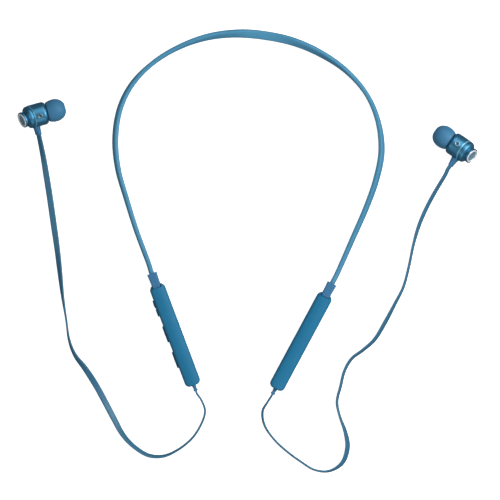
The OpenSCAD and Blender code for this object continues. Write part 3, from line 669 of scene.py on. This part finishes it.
def lay_floor():
    bm = bmesh.new()
    bmesh.ops.create_grid(bm, x_segments=4, y_segments=4, size=2.5)
    bmesh.ops.translate(bm, vec=(0, 0, -0.00002), verts=bm.verts)
    mesh = bpy.data.meshes.new("floor")
    bm.to_mesh(mesh)
    bm.free()
    sheet = bpy.data.objects.new("floor", mesh)
    bpy.context.scene.collection.objects.link(sheet)
    paper = bpy.data.materials.new("white_paper")
    paper.use_nodes = True
    shader = paper.node_tree.nodes["Principled BSDF"]
    shader.inputs["Base Color"].default_value = (0.93, 0.93, 0.93, 1)
    shader.inputs["Roughness"].default_value = 0.9
    shader.inputs["Specular IOR Level"].default_value = 0.1
    shader.inputs["Emission Color"].default_value = (1, 1, 1, 1)
    shader.inputs["Emission Strength"].default_value = 0.8
    dull = paper.node_tree.nodes.new("ShaderNodeBsdfDiffuse")
    dull.inputs["Color"].default_value = (0.2, 0.21, 0.22, 1)
    seen_by = paper.node_tree.nodes.new("ShaderNodeLightPath")
    both = paper.node_tree.nodes.new("ShaderNodeMixShader")
    links = paper.node_tree.links
    links.new(seen_by.outputs["Is Camera Ray"], both.inputs[0])
    links.new(dull.outputs[0], both.inputs[1])
    links.new(shader.outputs[0], both.inputs[2])
    links.new(both.outputs[0], paper.node_tree.nodes["Material Output"].inputs["Surface"])
    mesh.materials.append(paper)


lay_floor()

# ---------------------------------------------------------------- neckband and cables
AT_REST = Matrix.Identity(4)


def band_outline():
    """The band's section with the fine flash line that its two mould halves leave."""
    flash = 0.05
    return [(x + math.copysign(flash, x) if i in (0, 20) else x, y) for i, (x, y) in enumerate(BAND_FINE)]


def cable_outline():
    """The flat cable's section, with a shallow valley between its two cores."""
    return [(x, y * (0.84 if abs(x) < 0.25 else 0.94 if abs(x) < 0.6 else 1)) for x, y in CABLE_FINE]


keep_piece("neckband_skin", swept(stations(BAND_ROUTE, 8, BAND_FINE), band_outline()), AT_REST,
           band_rubber, replaces=["neckband"], sharp=50)

cable_places = [stations(route, 8, CABLE_FINE) for route in (LEFT_CABLE_ROUTE, RIGHT_CABLE_ROUTE)]
for side, places, length in zip(SIDES, cable_places, (0.247, 0.256)):
    cable = keep_piece(side + "_cable_skin", swept(places, cable_outline()), AT_REST, cable_rubber,
                       replaces=[side + "_cable"], sharp=50)

# ---------------------------------------------------------------- stem shells


def plan_stations():
    """(y, half width, share of full height) along a stem, closer together at its round ends."""
    rows = []
    for end, r in ((-1, 2.6), (1, 3.2)):
        row = []
        for i in range(11):
            a = math.radians(90 * i / 10)
            y = END_Y - r + r * math.sin(a)
            drop = max(0.0, (y - (END_Y - 0.9)) / 0.9)
            row.append((end * y, SIDE_X - r + r * math.cos(a), math.sqrt(1 - 0.3 * drop * drop)))
        rows.append(row[::-1] if end < 0 else row)
    between = [(-END_Y + 2.6 + (STEM_L - 5.8) * k / 16, SIDE_X, 1.0) for k in range(1, 16)]
    return rows[0] + between + rows[1]


def joint_edge(hand, shoulder_z):
    """Where a shell's section starts: its softened edge at the joint plane, above or below."""
    return [(0.6, SPLIT_Z + hand * 0.02), (SIDE_X - 0.12, SPLIT_Z + hand * 0.02),
            (SIDE_X, SPLIT_Z + hand * 0.14), (SIDE_X, shoulder_z)]


def front_half():
    """Right half of the front shell's section, from the joint plane up to the crown."""
    corner_r, crown_r = 2.2, 9.0
    corner_x = SIDE_X - corner_r
    rise = math.sqrt((crown_r - corner_r) ** 2 - corner_x ** 2)
    meet = math.degrees(math.atan2(rise, corner_x))
    return (joint_edge(1, 4.8)
            + arc(corner_x, STEM_D - crown_r + rise, corner_r, 0, meet, 10)
            + arc(0, STEM_D - crown_r, crown_r, meet, 89.5, 6)[1:])


def rear_half():
    """Right half of the rear shell's section, from the joint plane down to the back."""
    back_r = 1.6
    return joint_edge(-1, 2.8) + arc(SIDE_X - back_r, back_r, back_r, 0, -90, 8) + [(1.4, 0.0), (0.5, 0.0)]


def stem_loft(half):
    whole = half + [(-x, z) for x, z in half[::-1]]
    rings = []
    for y, width, height in plan_stations():
        squeeze = width / SIDE_X
        rings.append([(x * squeeze, y, SPLIT_Z + (z - SPLIT_Z) * height) for x, z in whole])
    return lofted(rings)


def shell_cutters(which):
    """Everything that is cut out of a stem's shells."""
    cuts = [pad(rounded(2 * INNER_X, STEM_L - 2 * WALL, 2.2, 1.8, 6), WALL, STEM_D - WALL)]
    gap = 0.08
    cuts.append(block((SLEEVE_W + 2 * gap, SLEEVE_IN + 1.2, STEM_D),
                      (0, END_Y - SLEEVE_IN / 2 + 0.6 - gap, WALL + STEM_D / 2)))
    cuts.append(block((BOOT_W + 2 * gap, 3, BOOT_H + 2 * gap), (0, -END_Y + 0.4, SPLIT_Z)))
    if which == LEFT:
        for y in KEY_Y:
            cuts.append(block((2.6, KEY_L + 0.24, KEY_H + 0.24), (-SIDE_X + 0.3, y, SPLIT_Z), 0.3, 2))
        cuts.append(block((2, COVER_L + 0.25, COVER_H + 0.24), (SIDE_X + 0.3, PORT_Y - 0.02, PORT_Z)))
        cuts.append(block((2.4, 7, 2.3), (INNER_X + 0.6, PORT_Y, PORT_Z), 0.5, 3))
        # hole for the light guide
        guide = turned([(2, 0), (2, 0.8), (6, 0.8), (6, 0)], steps=32)
        bmesh.ops.translate(guide, vec=(0, -14, SPLIT_Z), verts=guide.verts)
        cuts.append(guide)
        # hole for the microphone
        ear = turned([(-2, 0), (-2, 0.45), (3, 0.45), (3, 0)], steps=24)
        bmesh.ops.rotate(ear, cent=(0, 0, 0), matrix=turn(-90, "Y"), verts=ear.verts)
        bmesh.ops.translate(ear, vec=(0, 20, 0), verts=ear.verts)
        cuts.append(ear)
    return cuts


for which, side in enumerate(SIDES):
    for half, outline in (("front", front_half()), ("rear", rear_half())):
        keep_piece(f"{side}_{half}_cover", carved(stem_loft(outline), *shell_cutters(which)),
                   stem_place(which), soft_paint, replaces=[f"{side}_{half}_shell"])

# ---------------------------------------------------------------- sleeves and stem boots


def soft_box(w, h, n, p=0.28):
    """Box outline with soft corners, as n points that start on the +X side."""
    points = []
    for i in range(n):
        a = 2 * math.pi * (i + 0.5) / n
        points.append((w / 2 * soft_power(math.cos(a), p), h / 2 * soft_power(math.sin(a), p)))
    return points


def sleeve_shape(which):
    """Square sleeve with a tongue in the shell, flaring to a socket that grips the band."""
    hand = -1 if which == LEFT else 1
    roll = math.radians(STEM_ROLL)
    count, middle_z = 40, 4.15
    grip = []
    for i in range(count):
        a = 2 * math.pi * (i + 0.5) / count
        x, y = 2.6 * soft_power(math.cos(a), 0.6), 1.48 * soft_power(math.sin(a), 0.6)
        grip.append((hand * (x * math.cos(roll) - y * math.sin(roll)),
                     x * math.sin(roll) + y * math.cos(roll)))
    start = max(range(count), key=lambda i: grip[i][0] + grip[i][1])
    grip = [grip[(start + hand * i) % count] for i in range(count)]
    corner = max(range(count), key=lambda i: sum(soft_box(1, 1, count)[i]))
    rings = []
    out = END_Y + SLEEVE_OUT
    for y, w, h in (
            (END_Y - SLEEVE_IN, SLEEVE_W - 0.2, 6.0), (END_Y - SLEEVE_IN + 0.15, SLEEVE_W, 6.2),
            (END_Y - 1, SLEEVE_W, 6.2), (END_Y + 0.3, SLEEVE_W, 6.2), (END_Y + 3, SLEEVE_W + 0.1, 6.25),
            (out - 1.2, SLEEVE_W + 0.35, 6.35), (out - 0.25, SLEEVE_W + 0.5, 6.4),
            (out - 0.08, SLEEVE_W + 0.42, 6.32), (out, SLEEVE_W + 0.2, 6.1)):
        box_points = soft_box(w, h, count)
        started = box_points[corner:] + box_points[:corner]
        rings.append([(x, y, middle_z + z) for x, z in started])
    for y in (out, out - 0.12, out - 1.2):
        grow = 1.06 if y == out else 1.0
        rings.append([(x * grow, y, SPLIT_Z + z * grow) for x, z in grip])
    return lofted(rings)


def stem_boot_shape():
    """Small boot: a neck that ends in a bead round the cable."""
    rings = []
    for reach, w, h in ((-1.6, 2.1, 4.2), (-1.4, BOOT_W, BOOT_H), (0.3, BOOT_W, BOOT_H), (0.9, 2.05, 4.15),
                        (1.6, 1.85, 3.95), (2.1, 1.85, 3.95), (2.35, 2.25, 4.25), (2.6, 2.4, 4.4),
                        (3.0, 2.4, 4.4), (3.25, 2.2, 4.25), (3.35, 1.7, 3.8)):
        rings.append([(x, -END_Y - reach, SPLIT_Z + z) for x, z in soft_box(w, h, 32, 0.5)])
    return lofted(rings)


for which, side in enumerate(SIDES):
    keep_piece(side + "_sleeve", sleeve_shape(which), stem_place(which), sleeve_rubber,
               replaces=[side + "_top_sleeve"], sharp=40)
    keep_piece(side + "_stem_boot", stem_boot_shape(), stem_place(which), sleeve_rubber,
               replaces=[side + "_bottom_boot"], sharp=40)

# ---------------------------------------------------------------- keys and port cover


def key_shape(y, mark):
    """Key cap with soft edges, its flange inside the shell and a raised mark on its face. The
    cap with the plus has a notch for the fingertip, and its mark stands beside the notch."""
    face_x = -(SIDE_X + KEY_PROUD)
    deep = SIDE_X + KEY_PROUD - INNER_X + 0.05
    cap = block((deep, KEY_L, KEY_H), (face_x + deep / 2, y, SPLIT_Z), 0.38, 4)
    if mark == "plus":
        cap = carved(cap, block((0.7, 0.9, KEY_H + 1), (face_x, y, SPLIT_Z), 0.12, 2))
    parts = [cap, block((0.5, KEY_L + 0.8, KEY_H + 0.8), (-INNER_X + 0.32, y, SPLIT_Z), 0.1, 2)]
    if mark == "plus":
        y += KEY_L / 4
    if mark in ("plus", "minus"):
        parts.append(block((0.3, 1.9, 0.36), (face_x + 0.05, y, SPLIT_Z), 0.1, 2))
    if mark == "plus":
        parts.append(block((0.3, 0.36, 1.9), (face_x + 0.05, y, SPLIT_Z), 0.1, 2))
    if mark == "dot":
        bead = turned([(-0.1, 0), (-0.1, 0.55), (0.1, 0.62), (0.3, 0.62), (0.3, 0)], soft=0.06, steps=32)
        bmesh.ops.translate(bead, vec=(face_x, y, SPLIT_Z), verts=bead.verts)
        parts.append(bead)
    return gathered(*parts)


for key, y, mark in zip(("volume_up", "play", "volume_down"), KEY_Y, ("plus", "dot", "minus")):
    keep_piece(key + "_button_cap", key_shape(y, mark), stem_place(LEFT), key_paint,
               key + "_button_body", replaces=[key + "_button"])


def cover_shape():
    """Port cover: a plate with a finger lip, and the lug that plugs the socket."""
    return gathered(
        block((0.62, COVER_L, COVER_H), (SIDE_X - 0.32, PORT_Y, PORT_Z), 0.2, 3),
        block((0.24, 0.7, 1.9), (SIDE_X + 0.02, PORT_Y - COVER_L / 2 + 0.9, PORT_Z), 0.1, 2),
        block((1.2, 5.9, 0.95), (SIDE_X - 1.1, PORT_Y, PORT_Z + 0.15), 0.2, 2))


keep_piece("port_cover", cover_shape(), stem_place(LEFT), sleeve_rubber, "usb_cover_body",
           replaces=["usb_cover"])

# ---------------------------------------------------------------- earbuds


def through(points, steps=5):
    """A smooth line through a few points."""
    return [tuple(p) for p in dense(points, steps)]


def bell_place(which):
    return (bud_place(which) @ Matrix.Translation((SEAM_S, 0, 0)) @ turn(CUP_TURN * BUD_HAND[which], "X")
            @ turn(BELL_CANT, "Y") @ Matrix.Translation((-SEAM_S, 0, 0)))


def cup_place(which):
    return (bell_place(which) @ Matrix.Translation((WAIST_S, 0, 0)) @ turn(CUP_CANT - BELL_CANT - 90, "Y")
            @ turn(-90, "Y"))


def slanted(bm, which, up_to=99.0):
    """Slants the rings of a turned shape, up to a station, so that they lie parallel to the seam."""
    k = math.tan(math.radians(BELL_CANT))
    lean = math.radians(CUP_TURN * BUD_HAND[which])
    for v in bm.verts:
        if v.co.x < up_to:
            v.co.x += k * (v.co.z * math.cos(lean) - v.co.y * math.sin(lean))
    return bm


def vent_place(which):
    return (bud_place(which) @ Matrix.Translation((VENT_S, 0, 0)) @ turn(-VENT_TURN * BUD_HAND[which], "X")
            @ turn(-90, "Y"))


def barrel_shape(which):
    bend = 2.0
    start = BARREL_S + 0.36
    front = arc(FRONT_S - bend, BARREL_R - bend, bend, 90, 0)
    profile = [(start, SEAT_R), (start, BARREL_R - 0.08), (start + 0.08, BARREL_R), (start + 0.3, BARREL_R),
               (start + 3.4, BARREL_R), *front, (FRONT_S, 4.3), (FRONT_S - 0.9, 4.3), (FRONT_S - 1.6, SEAT_R)]
    return slanted(turned(profile, steps=128), which, start + 0.4)


def seam_ring_shape(which):
    """Ring that runs round the seam bevel; its lighter finish is a painted highlight."""
    back = BELL_S + 0.06
    profile = [(back, SEAT_R + 0.03), (back, BARREL_R - 0.4), (back + 0.34, BARREL_R - 0.06),
               (back + 0.46, BARREL_R + 0.02), (back + 0.62, BARREL_R + 0.02), (back + 0.66, BARREL_R - 0.03),
               (back + 0.66, SEAT_R + 0.03)]
    return slanted(turned(profile, soft=0.03, keep=(0, 6), steps=128), which)


def bell_shape():
    """Bell: a waist that swells into a full shoulder at the seam."""
    shoulder = through([(0.9, 3.3), (1.5, 3.75), (2.1, 3.98), (2.5, 4.25), (2.9, 4.95), (3.4, 5.65),
                        (3.95, 6.06), (4.5, 6.21), (5.1, BELL_R), (5.42, BELL_R)])
    return turned([(0.9, 0), *shoulder, (5.58, BELL_R - 0.08), (BELL_S, BELL_R - 0.28), (BELL_S, 4.6),
                   (4.2, 4.6), (4.2, 0)], steps=128)


def spigot_shape():
    """Collar that carries the barrel on the bell."""
    fit_r, back, front = SEAT_R - 0.05, 4.6, BELL_S + 2.6
    return turned([(back, 5.05), (back, fit_r), (front, fit_r), (front, 5.05)], soft=0.08)


def cup_shape():
    """Rear cup with a rolled rim and a flat floor for the ring and the disc."""
    outside = through([(-1.2, 3.4), (-0.7, 3.72), (-0.1, 3.9), (0.4, 4.08), (0.8, 4.3), (1.15, CUP_R)], 4)
    seat_r = RING_R + 0.05
    return turned([(-1.2, 0), *outside, (1.85, CUP_R), (2.02, CUP_R - 0.06), (CUP_RIM, CUP_R - 0.2),
                   (CUP_RIM, RING_R + 0.14), (2.04, seat_r), (CUP_FLOOR, seat_r), (CUP_FLOOR, 0)])


def cup_ring_shape():
    half = (RING_R - RING_IN) / 2
    base = CUP_FLOOR + 0.02
    return turned([(base, RING_IN), (base, RING_R), *arc(CUP_RIM - 0.15, RING_IN + half, half, 90, -90, 15)])


def cup_disc_shape():
    """Disc inside the ring, with a raised bead round its middle."""
    base, edge = CUP_FLOOR + 0.02, RING_IN - 0.03
    return turned([(base, 0), (base, edge), (1.86, edge), (1.8, edge - 0.14), (1.8, 2.35), (1.9, 2.25),
                   (1.9, 1.95), (1.8, 1.85), (1.83, 0.9), (1.86, 0)], soft=0.03, keep=(0, 1))


def vent_ring_shape():
    return turned([(6.1, 0.82), (6.1, 1.36), (6.44, 1.36), (6.54, 1.24), (6.54, 0.98), (6.44, 0.82)],
                  soft=0.04, keep=(0, 1), steps=64)


def screen_shape(radius, along, cells=22, wire_width=0.055):
    """Woven screen: a net of wires cut to a disc that faces along X."""
    bm = bmesh.new()
    bmesh.ops.create_grid(bm, x_segments=cells, y_segments=cells, size=radius)
    outside = [f for f in bm.faces if f.calc_center_median().length > radius * 0.97]
    bmesh.ops.delete(bm, geom=outside, context="FACES")
    bmesh.ops.wireframe(bm, faces=bm.faces[:], thickness=wire_width, offset=0.0, use_replace=True,
                        use_boundary=True, use_even_offset=True)
    bmesh.ops.recalc_face_normals(bm, faces=bm.faces)
    bmesh.ops.rotate(bm, cent=(0, 0, 0), matrix=turn(90, "Y"), verts=bm.verts)
    bmesh.ops.translate(bm, vec=(along, 0, 0), verts=bm.verts)
    return bm


def nozzle_shape():
    """Nozzle with a lip that holds the tip, on the flange that closes the barrel."""
    f, n, lip_r, bore_r = FRONT_S, NOZZLE_S, NOZZLE_R + 0.25, 1.8
    return turned([(f - 2.6, bore_r), (f - 2.6, 4.2), (f - 2.4, SEAT_R - 0.05), (f - 1.8, SEAT_R - 0.05),
                   (f - 0.9, 4.2), (f + 0.2, 4.2), (f + 0.3, 3.0), (f + 0.5, NOZZLE_R), (n - 1, NOZZLE_R),
                   (n - 0.8, lip_r), (n - 0.3, lip_r), (n, NOZZLE_R), (n, 2.1), (n - 0.5, 2.1),
                   (n - 0.5, bore_r)], soft=0.06, keep=(0, 14))


def eartip_shape():
    """Thin dome skin folded back over a core tube."""
    skin = through([(5.0, 0.0), (5.35, 0.3), (5.85, 1.5), (6.15, 2.8), (TIP_R, 4.0), (6.15, 5.3),
                    (5.75, 6.7), (5.0, 8.1), (4.0, 9.1), (3.0, 9.75), (2.3, 10.0)])
    outer = [(TIP_S + 1.02 * s, r) for r, s in skin]
    inner = [(2.02, 10.13), (1.95, 9.8), (2.0, 5.4), (2.85, 5.4), (2.85, 0.2), (3.0, 0.05), (3.4, 0.05),
             (3.5, 0.2), (3.5, 5.0), (3.8, 5.3), (4.4, 5.2), (5.0, 4.6), (5.4, 3.8), (5.38, 2.8), (5.2, 1.8),
             (4.85, 0.9), (4.55, 0.1), (4.7, -0.02)]
    return turned(outer + [(TIP_S + s, r) for r, s in inner], steps=128)


def bud_boot_shape(which):
    """Strain relief that turns from a round collar on the barrel into a flat mouth for the cable."""
    place = bud_place(which)
    _, across, over = cable_places[which][-1]
    root, count = 3.5, 40
    begin = place @ Vector((BOOT_S, -BUD_HAND[which] * root, 0))
    out = place.to_3x3() @ Vector((0, -BUD_HAND[which], 0))
    across = (across - out * across.dot(out)).normalized()
    over = out.cross(across)
    rings = []
    for reach, w, t, flat in (
            (root, 1.95, 1.95, 1.0), (6.1, 2.0, 2.0, 1.0), (6.3, 2.2, 2.2, 1.0), (6.75, 2.2, 2.2, 1.0),
            (6.95, 2.0, 1.95, 1.0), (8.0, 1.98, 1.7, 0.9), (9.2, 2.0, 1.35, 0.75), (10.3, 2.05, 1.08, 0.62),
            (10.9, 2.1, 1.0, 0.58), (11.15, 2.0, 0.9, 0.58), (11.25, 1.8, 0.7, 0.6)):
        centre = begin + out * (reach - root)
        ring = []
        for i in range(count):
            a = 2 * math.pi * i / count
            ring.append(centre + across * (w * soft_power(round(math.cos(a), 9), flat))
                        + over * (t * soft_power(round(math.sin(a), 9), flat)))
        rings.append(ring)
    return lofted(rings)


for which, side in enumerate(SIDES):
    bud, cup, vent = bud_place(which), cup_place(which), vent_place(which)
    metal, seam_highlight_finish = bud_metal[which], seam_highlight_metal[which]
    keep_piece(side + "_barrel_turned", barrel_shape(which), bud, metal,
               replaces=[side + "_barrel"])
    keep_piece(side + "_seam_ring", seam_ring_shape(which), bud, seam_highlight_finish)
    keep_piece(side + "_bell_turned", bell_shape(), bell_place(which), metal,
               replaces=[side + "_rear_bell"])
    keep_piece(side + "_spigot", spigot_shape(), bud, dark_gap)
    keep_piece(side + "_cup", cup_shape(), cup, metal)
    keep_piece(side + "_cup_ring", cup_ring_shape(), cup, chrome_painted_reflection,
               replaces=[side + "_chrome_ring"])
    keep_piece(side + "_cup_disc", cup_disc_shape(), cup, disc_satin,
               replaces=[side + "_magnet_disc"])
    keep_piece(side + "_vent_rim", vent_ring_shape(), vent, pale_metal,
               replaces=[side + "_vent_ring"])
    keep_piece(side + "_vent_screen", screen_shape(VENT_SCREEN_R, 6.4, 9, 0.05), vent,
               dark_weave)
    keep_piece(side + "_nozzle", nozzle_shape(), bud, metal,
               replaces=[side + "_front_housing"])
    keep_piece(side + "_nozzle_screen", screen_shape(NOZZLE_SCREEN_R, NOZZLE_S - 0.3), bud,
               dark_weave, replaces=[side + "_nozzle_mesh"])
    keep_piece(side + "_eartip_dome", eartip_shape(), bud, tip_rubber,
               side + "_eartip_body", replaces=[side + "_eartip"], sharp=45)
    keep_piece(side + "_bud_boot", bud_boot_shape(which), AT_REST, sleeve_rubber,
               replaces=[side + "_cable_boot"], sharp=45)

# ---------------------------------------------------------------- pieces kept from the solid model


def dress(node, surface):
    for slot in frame["nodes"][node].material_slots:
        slot.material = surface


KEPT = {
    "band_wires": copper, "control_board": board_mask, "protection_board": board_mask,
    "tact_switches": steel_plate, "bluetooth_module": steel_plate, "usb_socket": steel_plate,
    "microphone": steel_plate, "antenna": white_mould, "status_led": white_mould,
    "light_pipe": clear_guide, "battery_cell": foil,
}
for side in SIDES:
    KEPT[side + "_driver_frame"] = dark_moulding
    KEPT[side + "_driver_magnet"] = magnet_plate
    KEPT[side + "_diaphragm"] = film
for node, surface in KEPT.items():
    dress(node, surface)
